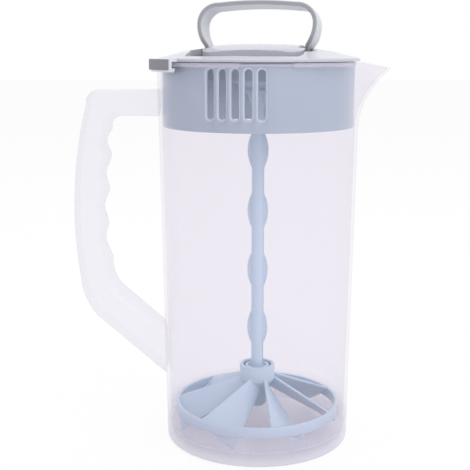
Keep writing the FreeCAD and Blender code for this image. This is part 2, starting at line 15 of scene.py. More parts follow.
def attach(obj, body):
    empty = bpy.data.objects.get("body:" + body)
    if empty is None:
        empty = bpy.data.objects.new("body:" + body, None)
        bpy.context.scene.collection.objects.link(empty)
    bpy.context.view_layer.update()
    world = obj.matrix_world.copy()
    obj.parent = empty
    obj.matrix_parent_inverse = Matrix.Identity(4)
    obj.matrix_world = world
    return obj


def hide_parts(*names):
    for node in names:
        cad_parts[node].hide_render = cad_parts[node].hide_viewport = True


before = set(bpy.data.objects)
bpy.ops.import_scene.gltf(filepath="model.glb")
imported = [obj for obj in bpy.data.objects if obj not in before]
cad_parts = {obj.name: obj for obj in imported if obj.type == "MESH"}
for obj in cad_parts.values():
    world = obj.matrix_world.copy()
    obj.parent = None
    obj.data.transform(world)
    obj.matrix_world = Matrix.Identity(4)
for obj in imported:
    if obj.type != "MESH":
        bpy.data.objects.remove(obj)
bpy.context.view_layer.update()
MM = 0.001
TAU = 2 * math.pi

# %% [markdown]
# The camera stands level with the lid, a little left of the jug, and looks down by eleven degrees.
# A long lens keeps the wall nearly parallel, while the base still shows as an ellipse.

# %% Camera
CAMERA_AT = Vector((-0.0126, -0.518, 0.2167))
CAMERA_TILT = math.radians(11.12)
LENS = 73.0
SENSOR = 36.0

scene = bpy.context.scene
camera_data = bpy.data.cameras.new("studio_camera")
camera_data.lens = LENS
camera_data.sensor_width = SENSOR
camera = bpy.data.objects.new("studio_camera", camera_data)
camera.location = CAMERA_AT
camera.rotation_euler = (math.pi / 2 - CAMERA_TILT, 0, 0)
scene.collection.objects.link(camera)
scene.camera = camera
print("camera", LENS, "mm")

# %% [markdown]
# Shader maths reads best as ordinary expressions. This small class wraps a socket, so that
# `1 - mask * 0.5` adds the Math nodes it needs, with the reflected forms for numbers on the left.

# %% Sockets that do maths


class Wire:
    """An output socket of a material, with operators that add Math nodes."""

    def __init__(self, paint, socket):
        self.paint = paint
        self.socket = socket

    def maths(self, operation, first, second, clamp=False):
        return self.paint.node("Math", {0: first, 1: second}, {"operation": operation, "use_clamp": clamp})

    def __add__(self, other):
        return self.maths("ADD", self, other)

    __radd__ = __add__

    def __mul__(self, other):
        return self.maths("MULTIPLY", self, other)

    __rmul__ = __mul__

    def __sub__(self, other):
        return self.maths("SUBTRACT", self, other)

    def __rsub__(self, other):
        return self.maths("SUBTRACT", other, self)

    def __truediv__(self, other):
        return self.maths("DIVIDE", self, other)

    def __pow__(self, other):
        return self.maths("POWER", self, other)

    def clamped(self):
        return self.maths("ADD", self, 0.0, clamp=True)


print("wires ready")

# %% [markdown]
# A finish is a tree of nodes, and so is the world. One method makes every node, with its values, links
# and settings, and short names cover the few patterns that most finishes share.

# %% Node trees


class Paint:
    """The node tree of a material, or of the world."""

    def __init__(self, name, kind="materials"):
        self.owner = getattr(bpy.data, kind).new(name)
        self.owner.use_nodes = True
        self.tree = self.owner.node_tree
        self.tree.nodes.clear()

    def node(self, kind, inputs=None, settings=None, output=0):
        made = self.tree.nodes.new("ShaderNode" + kind)
        for key, value in (settings or {}).items():
            setattr(made, key, value)
        for key, value in (inputs or {}).items():
            if isinstance(value, Wire):
                self.tree.links.new(value.socket, made.inputs[key])
            else:
                made.inputs[key].default_value = value
        return Wire(self, made.outputs[output]) if len(made.outputs) else None

    def finish(self, shader, output="OutputMaterial"):
        self.node(output, {"Surface": shader})
        return self.owner

    def seen(self):
        """1 for a ray that ends in the picture, straight, mirrored or through a wall, and 0 for light."""
        camera, glossy, transmission = (self.node("LightPath", output="Is " + kind + " Ray")
                                        for kind in ("Camera", "Glossy", "Transmission"))
        return (camera + glossy + transmission).clamped()

    def place(self):
        """The point in the object's own frame, in metres."""
        return self.node("TexCoord", output=3)

    def noise(self, scale, detail=3.0, rough=0.5, where=None):
        return self.node("TexNoise", {
            "Vector": where or self.place(), "Scale": scale, "Detail": detail, "Roughness": rough})

    def stretched(self, factors):
        return self.node("VectorMath", {0: self.place(), 1: factors}, {"operation": "MULTIPLY"})

    def blend(self, factor, first, second):
        return self.node("Mix", {0: factor, 6: first, 7: second}, {"data_type": "RGBA"}, output=2)

    def bump(self, height, strength, distance):
        return self.node("Bump", {"Height": height, "Strength": strength, "Distance": distance})


def linear(red, green, blue):
    """A colour picked on a screen, 0 to 255, as the shader wants it."""
    def one(value):
        value /= 255
        return value / 12.92 if value <= 0.04045 else ((value + 0.055) / 1.055) ** 2.4
    return (one(red), one(green), one(blue), 1)


def shade(colour, factor):
    """The same colour, darker or lighter."""
    return tuple(min(1, v * factor) for v in colour[:3]) + (1,)


print("shader tools ready")

# %% [markdown]
# Moulded plastic is never a flat colour: the pigment clouds a little, the polish of the mould varies,
# and handling leaves faint rub marks. Low noise in colour, roughness and bump gives that.

# %% Moulded plastic


def moulded(name, colour, roughness, cloud=0.035, grain=0.00002, coat=0.25):
    """Any of the opaque plastics."""
    paint = Paint(name)
    tone = paint.blend(paint.noise(38, 4), shade(colour, 1 - 2.2 * cloud), shade(colour, 1 + 1.4 * cloud))
    rubbed = paint.noise(12, 5, 0.65, paint.stretched((1, 1, 0.35)))
    fine = paint.noise(1900, 2)
    shader = paint.node("BsdfPrincipled", {
        "Base Color": tone, "Roughness": roughness + (rubbed - 0.5) * 0.16, "IOR": 1.48,
        "Coat Weight": coat, "Coat Roughness": 0.12,
        "Normal": paint.bump(fine, 0.25, grain)})
    return paint.finish(shader)


skirt_finish = moulded("blue_plastic", linear(177, 190, 201), 0.38)
wheel_finish = moulded("wheel_blue", linear(207, 223, 236), 0.3)
lid_finish = moulded("pale_grey", linear(199, 200, 207), 0.26, cloud=0.02)
# painted shade: a darker copy of the lid's grey, for the recess and for faces that do not face up
painted_shade_finish = moulded("painted_shade_grey", linear(192, 192, 199), 0.3, cloud=0.02)
cap_finish = moulded("cap_grey", linear(200, 200, 209), 0.2, cloud=0.02, coat=0.5)
bracket_finish = moulded("bracket_white", linear(225, 226, 232), 0.3, cloud=0.02)
# painted highlight: a lighter copy of the skirt's blue for the flared faces round the slots
slot_highlight_finish = moulded("slot_painted_highlight", linear(206, 216, 226), 0.3)
# painted light: the bush's blue is made paler to offset the shade it sits in under the lid
bush_painted_light_finish = moulded("bush_blue", linear(200, 212, 226), 0.3)
silicone_finish = moulded("seal_silicone", linear(205, 208, 216), 0.55, grain=0.00003, coat=0.0)
print("plastics made")

# %% [markdown]
# The clip's pad and the bail are not the same grey. The pad is matt, with a spark-eroded grain, which is
# a fine cell pattern in bump. The bail is satin, with painted shade darkening its rims and grooves, and
# its pins are steel with the fine rings that a lathe leaves.

# %% Matt pad, satin bail and turned steel


def soft_touch(name, colour):
    """The pad's matt plastic with its grain."""
    paint = Paint(name)
    cells = paint.node("TexVoronoi", {"Vector": paint.place(), "Scale": 1500})
    wear = paint.noise(120, 3)
    shader = paint.node("BsdfPrincipled", {
        "Base Color": paint.blend(wear * 0.5, colour, shade(colour, 1.16)), "Roughness": 0.58 + wear * 0.1,
        "Normal": paint.bump(cells, 0.4, 0.00006)})
    return paint.finish(shader)


def satin_grey(name, colour, painted_shade_colour):
    """Bail plastic. The mesh's own map says where painted shade darkens the strap's rims and grooves."""
    paint = Paint(name)
    # painted shade: the map's second coordinate darkens the strap's rims and groove floors
    rim = paint.node("SeparateXYZ", {0: paint.node("TexCoord", output=2)}, output=1)
    mottle = paint.noise(60, 4)
    body = paint.blend(mottle * 0.6, colour, shade(colour, 0.93))
    drawn = paint.noise(300, 3, 0.6, paint.stretched((0.3, 5, 0.3)))
    shader = paint.node("BsdfPrincipled", {
        "Base Color": paint.blend(rim, body, painted_shade_colour), "Roughness": 0.3 + drawn * 0.14,
        "Coat Weight": 0.2, "Normal": paint.bump(drawn, 0.12, 0.00003)})
    return paint.finish(shader)


def turned_steel(name):
    """Bare metal for the bail's pins."""
    paint = Paint(name)
    rings = paint.noise(900, 2, 0.5, paint.stretched((6, 0.4, 0.4)))
    shader = paint.node("BsdfPrincipled", {
        "Base Color": paint.blend(rings, linear(170, 171, 175), linear(205, 206, 210)), "Metallic": 1.0,
        "Roughness": 0.22 + rings * 0.18})
    return paint.finish(shader)


pad_finish = soft_touch("clip_grey", linear(134, 133, 138))
# the second colour is painted shade for the strap's rims and grooves
bail_finish = satin_grey("bail_grey", linear(214, 216, 220), linear(157, 156, 161))
pin_finish = turned_steel("pin_steel")
print("greys and steel made")

# %% [markdown]
# The jug is clear, with a faint lavender haze. Its wall is too thin to bend light much, so light passes
# straight through, and a little haze is added that thickens edge-on, near the base and on the handle's
# bevels. It mirrors more the flatter it is seen, by Schlick's formula. A Fresnel node would take the
# wall's inner side for the inside of solid plastic, and mirror everything there.

# %% Clear plastic
LOW_WALL = 0.022
HAZE_TINT = linear(228, 224, 235)
THIN_CLEAR, THICK_CLEAR = (0.978, 0.968, 0.985, 1), (0.958, 0.953, 0.975, 1)
MIRROR_FACE, MIRROR_SHARE = 0.03, 0.6


def clear_plastic(name, haze_face, clearness, low_haze=0.0, bevel_haze=0.0):
    """Haze and light passing through, with a mirror on top."""
    paint = Paint(name)
    flow = paint.noise(14, 3, 0.5, paint.stretched((1, 1, 0.25)))
    scuffs = paint.noise(420, 4, 0.7, paint.stretched((1, 1, 0.2)))
    worn = ((scuffs - 0.56) / 0.22).clamped()
    body = paint.node("BsdfPrincipled", {
        "Base Color": paint.blend(flow, HAZE_TINT, shade(HAZE_TINT, 0.97)), "Roughness": 0.45,
        "Specular IOR Level": 0.2})
    through = paint.node("BsdfTransparent", {"Color": clearness})
    facing = paint.node("LayerWeight", {"Blend": 0.5}, output=1)
    height = paint.node("SeparateXYZ", {0: paint.place()}, output=2)
    thick = (1 - height / LOW_WALL).clamped()
    haze = haze_face * (0.85 + flow * 0.3) + facing ** 5.0 * 0.1 + worn * 0.012 + thick * low_haze
    sideways = paint.node("SeparateXYZ", {0: paint.node("TexCoord", output=1)}, output=1)
    haze = haze + (1 - sideways * sideways) * bevel_haze
    wall = paint.node("MixShader", {0: haze.clamped(), 1: through, 2: body})
    gloss = paint.node("BsdfGlossy", {"Color": (1, 1, 1, 1), "Roughness": 0.22 + worn * 0.1})
    mirror = (facing ** 5.0 * (0.99 - MIRROR_FACE) + MIRROR_FACE) * MIRROR_SHARE
    return paint.finish(paint.node("MixShader", {0: mirror, 1: wall, 2: gloss}))


shell_finish = clear_plastic("clear_shell", 0.035, THIN_CLEAR, low_haze=0.42)
bead_finish = clear_plastic("clear_bead", 0.22, THIN_CLEAR)
handle_finish = clear_plastic("clear_handle", 0.06, THICK_CLEAR, bevel_haze=0.06)
print("clear plastic made")

# %% [markdown]
# Most of this object is turned about one axis, so one helper lathes a profile whose radius may also
# depend on the angle. A round jug with a pouring lip and a plain ring are then the same few lines. The
# rest are stacks of rings. The helpers take millimetres, and shade a solid smooth except at its edges.

# %% Solids from rings


def mesh_object(name, build, finish, sharp=34.0):
    """A new object from a function that fills a bmesh, with one material."""
    shape = bmesh.new()
    build(shape)
    bmesh.ops.recalc_face_normals(shape, faces=shape.faces)
    for face in shape.faces:
        face.smooth = True
    for edge in shape.edges:
        edge.smooth = edge.calc_face_angle(0) < math.radians(sharp)
    mesh = bpy.data.meshes.new(name)
    shape.to_mesh(mesh)
    shape.free()
    made = bpy.data.objects.new(name, mesh)
    mesh.materials.append(finish)
    scene.collection.objects.link(made)
    return made


def stitch(shape, low, high):
    """Faces between two rings of points, either of which may be a single point."""
    count = max(len(low), len(high))
    if count == 1:
        return
    for step in range(count):
        after = (step + 1) % count
        corners = [(low, step), (low, after), (high, after), (high, step)]
        unique = list(dict.fromkeys(ring[place % len(ring)] for ring, place in corners))
        if len(unique) > 2:
            shape.faces.new(unique)


def stack(shape, layers):
    """Stitches layers of (x, y, z) points into one solid and closes both ends."""
    rings = [[shape.verts.new((x * MM, y * MM, z * MM)) for x, y, z in layer] for layer in layers]
    for low, high in zip(rings, rings[1:]):
        stitch(shape, low, high)
    shape.faces.new(rings[0])
    shape.faces.new(rings[-1])


def lathe(profile, steps, warp=None, closed=True):
    """Turns (r, z) corners about Z. warp(r, z, angle) may move each point and returns (r, z)."""
    def build(shape):
        rings = []
        for r, z in profile:
            ring = []
            for step in range(steps if r > 1e-9 else 1):
                angle = TAU * step / steps
                radius, height = (v * MM for v in (warp(r, z, angle) if warp else (r, z)))
                ring.append(shape.verts.new((radius * math.cos(angle), radius * math.sin(angle), height)))
            rings.append(ring)
        pairs = list(zip(rings, rings[1:] + rings[:1]))
        for low, high in pairs if closed else pairs[:-1]:
            stitch(shape, low, high)
    return build


def block(name, outline, z_low, z_high, finish):
    """An upright block on a closed (x, y) outline."""
    def build(shape):
        stack(shape, [[(x, y, z) for x, y in outline] for z in (z_low, z_high)])
    return mesh_object(name, build, finish)


print("ring helpers ready")

# %% [markdown]
# Outlines are lists of points in millimetres, from the few sizes that a drawing would give.

# %% Outlines


def arc(centre, radius, start, end, count):
    """Points on a circle, in degrees from +r towards +z."""
    angles = [math.radians(start + (end - start) * i / count) for i in range(count + 1)]
    return [(centre[0] + radius * math.cos(a), centre[1] + radius * math.sin(a)) for a in angles]


def through(first, middle, last, count):
    """Points on the circular arc from first to last by way of middle."""
    a, b, c = (complex(*point) for point in (first, middle, last))
    ratio = (c - a) / (b - a)
    centre = a + (b - a) * (ratio - abs(ratio) ** 2) / (2j * ratio.imag)
    mid, sweep = (cmath.phase((point - centre) / (a - centre)) % TAU for point in (b, c))
    if mid > sweep:
        sweep -= TAU
    points = [centre + (a - centre) * cmath.exp(1j * sweep * i / count) for i in range(count + 1)]
    return [(point.real, point.imag) for point in points]


def rounded(points, radius, count=3):
    """A closed (r, z) outline with each corner cut by a small curve, except on the axis."""
    out = []
    for index, here in enumerate(points):
        if here[0] < 1e-9:
            out.append(here)
            continue
        ends = []
        for other in (points[index - 1], points[(index + 1) % len(points)]):
            span = math.dist(here, other)
            cut = min(radius, span * 0.45) / span
            ends.append([h + (o - h) * cut for h, o in zip(here, other)])
        for t in (i / count for i in range(count + 1)):
            out.append(tuple((1 - t) ** 2 * s + 2 * t * (1 - t) * h + t * t * e
                             for s, h, e in zip(ends[0], here, ends[1])))
    return out


def box(r_in, r_out, z_low, z_high):
    """Four corners, as (r, z) for a plain ring's section."""
    return [(r_in, z_low), (r_out, z_low), (r_out, z_high), (r_in, z_high)]


def plate_outline(half, low, high, corner, count=6):
    """Rounded rectangle about x = 0, as (x, y) points going round once."""
    out = []
    for cx, cy, start in ((half - corner, high - corner, 0), (-half + corner, high - corner, 90),
                          (-half + corner, low + corner, 180), (half - corner, low + corner, 270)):
        out += arc((cx, cy), corner, start, start + 90, count)
    return out


print("outline helpers ready")

# %% [markdown]
# Solids are then turned, cut and eased. The last helper ties a piece to the body that it moves with.

# %% Turning, cutting and easing


def turn_about_z(made, degrees):
    """Turns the mesh itself, so that the object keeps the frame's own axes."""
    made.data.transform(Matrix.Rotation(math.radians(degrees), 4, "Z"))
    return made


def boolean(made, cutters, operation="DIFFERENCE"):
    """Applies each cutter, then removes it."""
    for cutter in cutters:
        modifier = made.modifiers.new("cut", "BOOLEAN")
        modifier.operation = operation
        modifier.solver = "EXACT"
        modifier.object = cutter
    graph = bpy.context.evaluated_depsgraph_get()
    mesh = bpy.data.meshes.new_from_object(made.evaluated_get(graph))
    made.modifiers.clear()
    made.data = mesh
    for cutter in cutters:
        bpy.data.objects.remove(cutter)


def soften(made, width, angle, segments=3):
    """Rounds the sharp edges of a finished piece."""
    modifier = made.modifiers.new("soft_edges", "BEVEL")
    modifier.width = width * MM
    modifier.segments = segments
    modifier.limit_method = "ANGLE"
    modifier.angle_limit = math.radians(angle)
    modifier.harden_normals = True


def stands_for(made, body, *nodes):
    """Puts a piece on its body, in place of the nodes that it dresses."""
    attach(made, body)
    if nodes:
        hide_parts(*nodes)
    return made


print("piece helpers ready")

# %% [markdown]
# The jug is drafted: it widens by a few millimetres from base to rim, so that it leaves its mould. Its
# lip is drawn out of the wall by two straight flanks that meet in a small round tip. In polar terms
# that is one radius per angle and height. The tip's curve says how far the lip reaches at each height.

# %% Radius of wall and spout
JUG_BASE_R, JUG_RIM_R, JUG_RIM_Z = 50.9, 54.4, 209.4
SPOUT_LOW = 172.0
TIP_CURVE = ((SPOUT_LOW, 50.0), (179.0, 54.2), (186.0, 56.5), (193.0, 60.0), (200.0, 65.3), (206.2, 71.7),
             (211.0, 76.0))
TIP_R, ROOT_X, ROOT_HALF = 5.0, 40.0, 31.0


def jug_radius(z):
    """The drafted outer wall."""
    return JUG_BASE_R + (JUG_RIM_R - JUG_BASE_R) * z / JUG_RIM_Z


def curve_value(points, x):
    """Smooth curve through points, by Catmull-Rom."""
    if x <= points[0][0]:
        return points[0][1]
    for index in range(len(points) - 1):
        (x0, y0), (x1, y1) = points[index], points[index + 1]
        if x <= x1:
            before = points[max(index - 1, 0)]
            after = points[min(index + 2, len(points) - 1)]
            m0 = (y1 - before[1]) / (x1 - before[0])
            m1 = (after[1] - y0) / (after[0] - x0)
            t, h = (x - x0) / (x1 - x0), x1 - x0
            return ((2 * t**3 - 3 * t**2 + 1) * y0 + (t**3 - 2 * t**2 + t) * h * m0
                    + (3 * t**2 - 2 * t**3) * y1 + (t**3 - t**2) * h * m1)
    return points[-1][1]


def spout_radius(z, angle, inset):
    """Distance from the axis to the spout's flank or tip at one angle."""
    if math.cos(angle) <= 0.5:
        return 0.0
    centre = curve_value(TIP_CURVE, z) - TIP_R
    tip_r = TIP_R - inset
    slope = math.atan2(ROOT_HALF - TIP_R, centre - ROOT_X)
    side = abs(math.sin(angle))
    reach = tip_r + centre * math.sin(slope)
    flank = reach / (math.cos(angle) * math.sin(slope) + side * math.cos(slope))
    touch_angle = math.atan2(tip_r * math.cos(slope), centre + tip_r * math.sin(slope))
    if flank * side > ROOT_HALF:
        return 0.0
    if math.asin(side) >= touch_angle:
        return flank
    return centre * math.cos(angle) + math.sqrt(max(tip_r**2 - (centre * side) ** 2, 0))


print("jug is", round(jug_radius(0), 1), "to", JUG_RIM_R, "mm in radius")

# %% [markdown]
# One profile goes up the outside, over the rim and down the inside. Each point is moved out to the spout
# where that lies beyond the wall, with a smooth blend. Towards its tip the lip's rim drops a little.

# %% Jug
WALL, FLOOR = 1.9, 3.0
CORNER_R, INNER_CORNER_R = 2.2, 3.0
FLAT_R = 20.0
LIP_DROP, LIP_REACH = 3.6, 71.6
SPOUT_BLEND = 1.6
RIM_EASE = ((0.12, 0.5), (0.55, 0.0))


def smooth_max(a, b, width):
    """The larger of two lengths, blended over a width where they cross."""
    mix = max(width - abs(a - b), 0) / width
    return max(a, b) + mix * mix * width / 4


def jug_warp(r, z, angle):
    """Moves a point of the round jug out to the spout."""
    if z < SPOUT_LOW:
        return r, z
    inset = 0 if r > jug_radius(z) - WALL / 2 else WALL
    round_r = jug_radius(z) - inset
    share = min((z - SPOUT_LOW) / (JUG_RIM_Z - SPOUT_LOW), 1)
    drop = LIP_DROP * share**6
    wall = smooth_max(round_r, spout_radius(z - drop, angle, inset), SPOUT_BLEND)
    radius = wall - round_r + r
    past = max(radius * math.cos(angle) - JUG_RIM_R, 0) / (LIP_REACH - JUG_RIM_R)
    return radius, z - drop * past


def jug_profile():
    """Outer wall, rim and inner wall, as (r, z) from the middle of the underside to that of the floor."""
    knee = jug_radius(CORNER_R) - CORNER_R
    heights = [12 + 20 * i for i in range(8)] + [SPOUT_LOW + 2.2 * i for i in range(17)]
    outer = [(0, 0), (FLAT_R, 0), (knee - 1, 0)] + arc((knee, CORNER_R), CORNER_R, -90, 0, 8)
    outer += [(jug_radius(z), z) for z in heights]
    rim = [(JUG_RIM_R - across, JUG_RIM_Z - down) for across, down in RIM_EASE]
    rim += [(JUG_RIM_R - WALL + across, JUG_RIM_Z - down) for across, down in reversed(RIM_EASE)]
    inner = [(jug_radius(z) - WALL, z) for z in reversed(heights)]
    inner_corner_z = FLOOR + INNER_CORNER_R
    inner_knee = jug_radius(inner_corner_z) - WALL - INNER_CORNER_R
    inner += arc((inner_knee, inner_corner_z), INNER_CORNER_R, 0, -90, 6)
    return outer + rim + inner + [(FLAT_R, FLOOR), (0, FLOOR)]


jug_shape = lathe(jug_profile(), 180, jug_warp, closed=False)
jug = stands_for(mesh_object("clear_jug", jug_shape, shell_finish, 60), "pitcher", "pitcher_body")
print("jug", len(jug.data.polygons), "faces")

# %% [markdown]
# Below the rim two stretches of bead run round the outside. The lid's hook slides under them and comes
# free only at the gap, which is why the lid can't be knocked off while it pours.

# %% Rim bead
BEAD_IN_R, BEAD_R, BEAD_Z = 54.45, 57.0, 207.2
BEAD_GAP = (259.5, 286.5)
BEAD_SPOUT = 32.0


def ring_stretch(name, section, start, end, finish, steps=64):
    """A closed (r, z) section swept through part of a circle, in degrees, with both ends capped."""
    def build(shape):
        angles = [math.radians(start + (end - start) * step / steps) for step in range(steps + 1)]
        stack(shape, [[(r * math.cos(a), r * math.sin(a), z) for r, z in section] for a in angles])
    return mesh_object(name, build, finish)


bead_section = rounded(box(BEAD_IN_R, BEAD_R, BEAD_Z, JUG_RIM_Z), 0.4)
for side, start, end in (("left", BEAD_SPOUT, BEAD_GAP[0]), ("right", BEAD_GAP[1], 360 - BEAD_SPOUT)):
    bead = ring_stretch("rim_bead_" + side, bead_section, start, end, bead_finish)
    stands_for(bead, "pitcher")
print("rim bead made")

# %% [markdown]
# The handle is a separate clear moulding in the frame. Its side outline is a top arm, a bowed spine and
# a slanted foot, with four finger hollows. Seen from the side, a second line runs inside the grip: the
# bevel where the narrow finger face meets the flat flank. Drawing the outline in at each layer makes it.

# %% Outline of the handle
HANDLE_SLOPE = math.radians(41.4)
# x, z, and the direction in which each point moves as the outline is drawn in
HANDLE_OUTSIDE = ((-85.0, 194.9, 0, -1), (-90.0, 193.0, 0.7, -0.7), (-92.0, 187.6, 1, 0),
                  (-99.9, 124.0, 1, 0), (-97.2, 90.6, 1, 0), (-93.2, 77.4, 0.8, 0.4), (-87.4, 69.8, 0.66, 0.75))
HANDLE_FOOT_BEND = ((-75.2, 85.6, -0.66, -0.75), (-79.4, 92.0, -0.92, -0.35), (-80.6, 102.0, -1, 0))
HANDLE_ARM_BEND = ((-79.4, 173.6, -1, 0), (-77.9, 178.6, -0.75, 0.75), (-73.6, 180.8, 0, 1))
FINGER_WAVE = ((-80.6, 102.0), (-84.4, 112.6), (-82.6, 121.6), (-84.8, 130.8), (-81.8, 140.1), (-83.5, 149.2),
               (-80.2, 158.4), (-82.4, 167.0), (-79.4, 173.6))


def jug_side(z, y):
    """x of the jug's wall on the handle's side."""
    return -math.sqrt(max(jug_radius(z) ** 2 - y**2, 0)) - 0.02


def down_slope(point, y):
    """Where the slanted foot's line from a point meets the wall."""
    z = point[1]
    for _ in range(6):
        z = point[1] - (jug_side(z, y) - point[0]) * math.tan(HANDLE_SLOPE)
    return (jug_side(z, y), z)


def drawn_in(points, amount):
    """The points of one stretch, moved in by some millimetres."""
    return [(x + move_x * amount, z + move_z * amount) for x, z, move_x, move_z in points]


def wave_points(finger, count=7):
    """Finger hollows from the foot upwards, as a smooth curve through their peaks and valleys."""
    steps = [(index, x) for index, (x, z) in enumerate(FINGER_WAVE)]
    rises = [(index, z) for index, (x, z) in enumerate(FINGER_WAVE)]
    total = (len(FINGER_WAVE) - 1) * count
    return [(curve_value(steps, i / count) - finger, curve_value(rises, i / count)) for i in range(total + 1)]


def handle_outline(finger, edge, y):
    """The outline as (x, z), drawn in on the finger side and on the outside, at one distance y."""
    outside = drawn_in(HANDLE_OUTSIDE, edge)
    foot_bend, arm_bend = drawn_in(HANDLE_FOOT_BEND, finger), drawn_in(HANDLE_ARM_BEND, finger)
    points = [(jug_side(outside[0][1], y), outside[0][1])]
    points += through(*outside[:3], 7) + through(*outside[2:5], 24)[1:] + through(*outside[4:], 8)[1:]
    points += [down_slope(outside[-1], y), down_slope(foot_bend[0], y)]
    points += through(*foot_bend, 8) + wave_points(finger)[1:] + through(*arm_bend, 6)[1:]
    return points + [(jug_side(arm_bend[-1][1], y), arm_bend[-1][1])]


print("handle outline", len(handle_outline(0, 0, 0)), "points")

# %% [markdown]
# Each layer says how far it lies from the middle plane, and how far the outline is drawn in there on the
# finger side and on the outside. The other half mirrors them.

# %% Handle
HALF_LAYERS = ((4.6, 0.0, 0.0), (5.4, 0.35, 0.0), (8.4, 2.7, 0.3), (9.2, 3.7, 0.7), (9.5, 4.3, 1.2))


def build_handle(shape):
    layers = [(-y, finger, edge) for y, finger, edge in reversed(HALF_LAYERS)] + list(HALF_LAYERS)
    stack(shape, [[(x, y, z) for x, z in handle_outline(finger, edge, y)] for y, finger, edge in layers])


grip = stands_for(mesh_object("clear_handle", build_handle, handle_finish, 24), "pitcher", "handle")
print("handle", len(grip.data.vertices), "points")

# %% [markdown]
# The lid is drawn turned by fourteen degrees, as it sits on the jug. Under it hangs the blue skirt, a
# ring with five upright slots. Turned to the spout, the slots strain the formula; turned away, the
# plain wall closes the spout. Each slot is a capsule cut with a flared mouth, whose faces are painted
# a lighter blue as a painted highlight.

# %% Lid skirt with its slots
LID_TURN = -14.4
SKIRT_R, SKIRT_WALL, SKIRT_LOW, LID_UNDER = 51.3, 1.9, 175.3, 209.8
SEAL_SEAT_R, SEAL_Z = 50.3, (207.6, 209.3)
SLOT_COUNT, SLOT_PITCH, SLOT_HALF, SLOT_FLARE = 5, 7.5, 1.85, 2.0
SLOT_Z = (181.8, 206.4)
FRONT = 270


def capsule(half, count=10):
    """Outline of a slot as (x, z), at one half width."""
    low, high = SLOT_Z[0] + SLOT_HALF, SLOT_Z[1] - SLOT_HALF
    return arc((0, high), half, 0, 180, count) + arc((0, low), half, 180, 360, count)


def slot_cutter(azimuth):
    """A slot with its flared mouth, drawn at the front and turned to its place."""
    layers = ((-1.0, SLOT_HALF + SLOT_FLARE), (1.0, SLOT_HALF), (4.0, SLOT_HALF))

    def build(shape):
        stack(shape, [[(x, inward - SKIRT_R, z) for x, z in capsule(half)] for inward, half in layers])
    return turn_about_z(mesh_object("slot_cutter", build, skirt_finish), azimuth - FRONT)


SKIRT_IN_R = SKIRT_R - SKIRT_WALL
skirt_section = rounded([(SKIRT_IN_R, SKIRT_LOW), (SKIRT_R, SKIRT_LOW), (SKIRT_R, SEAL_Z[0]),
                         (SEAL_SEAT_R, SEAL_Z[0]), (SEAL_SEAT_R, LID_UNDER), (SKIRT_IN_R, LID_UNDER)], 0.35)
skirt = mesh_object("slotted_skirt", lathe(skirt_section, 192), skirt_finish)
boolean(skirt, [slot_cutter(FRONT + (index - SLOT_COUNT // 2) * SLOT_PITCH) for index in range(SLOT_COUNT)])
# painted highlight: the slots' flared faces take the lighter blue
skirt.data.materials.append(slot_highlight_finish)
for face in skirt.data.polygons:
    if SLOT_Z[0] - SLOT_FLARE < face.center.z / MM < SLOT_Z[1] + SLOT_FLARE and face.center.y < 0:
        outward = face.normal.dot(face.center.xy.to_3d().normalized())
        face.material_index = 1 if 0.1 < outward < 0.95 else 0
turn_about_z(skirt, LID_TURN)
stands_for(skirt, "lid", "lid_skirt")
print("skirt", len(skirt.data.polygons), "faces")

# %% [markdown]
# The bail's arch comes before the lid, because the lid's pocket follows it. From its foot the strap bows
# out over the cap's end, turns a round shoulder and runs nearly flat across the top.

# %% Arch of the bail
ARCH = {"foot": (25.4, 0.0), "neck": (27.4, 6.4), "flank": (30.4, 12.2), "widest": (31.2, 17.3),
        "shoulder": (28.6, 24.2), "bend": (21.0, 27.3), "top": (0.0, 28.4)}
FOOT_TAIL = ((-0.9, -4.0), (-0.4, -2.2), (0.0, 0.0))


def half_arch():
    """Middle line of the strap from one foot up to the top, as (x, height above the pivot)."""
    foot, neck = ARCH["foot"], ARCH["neck"]
    points = [(foot[0] + x, z) for x, z in FOOT_TAIL]
    points += [(foot[0] + (neck[0] - foot[0]) * t, neck[1] * t) for t in (0.25, 0.5, 0.75)]
    points += through(neck, ARCH["flank"], ARCH["widest"], 10)
    points += through(ARCH["widest"], ARCH["shoulder"], ARCH["bend"], 14)[1:]
    far = (-ARCH["bend"][0], ARCH["bend"][1])
    crown = through(ARCH["bend"], ARCH["top"], far, 28)
    return points + crown[1:15]


print("arch", round(2 * ARCH["widest"][0], 1), "mm wide and", ARCH["top"][1], "mm high")

# %% [markdown]
# The lid is a low cone that rises to a soft crown. In its middle a deep well takes the plunger's cap. A
# pocket of the same depth takes the bail when it is folded forward, and a shallow scoop in front lets a
# fingertip get under it.

# %% Outlines of the lid
LID_R, LID_EDGE, LID_TOP = 54.0, 211.4, 218.2
SHOULDER = (41.0, 214.5)
PLUG_R, PLUG_LOW = 49.4, 206.8
WELL_HALF, WELL_FRONT, WELL_BACK = 28.4, -9.4, 21.6
POCKET_HALF, POCKET_BACK, POCKET_ROOM = 33.0, 10.6, 1.7
SCOOP_HALF, SCOOP_FRONT, SCOOP_BACK = 30.0, -47.4, 10.6
WELL_CORNER, SCOOP_CORNER = 7.0, 14.0


def dome_line():
    """The dome's top line from its edge to the axis."""
    crown = through((0, LID_TOP), (SHOULDER[0] * 0.55, LID_TOP - 1.1), SHOULDER, 18)
    slope = through(SHOULDER, (SHOULDER[0] + 6.4, SHOULDER[1] - 1.75), (LID_R - 0.5, LID_EDGE), 8)
    return list(reversed(crown + slope[1:]))


def well_outline(grow=0.0):
    """The well as (x, y) points."""
    return plate_outline(WELL_HALF + grow, WELL_FRONT - grow, WELL_BACK + grow, WELL_CORNER + grow)


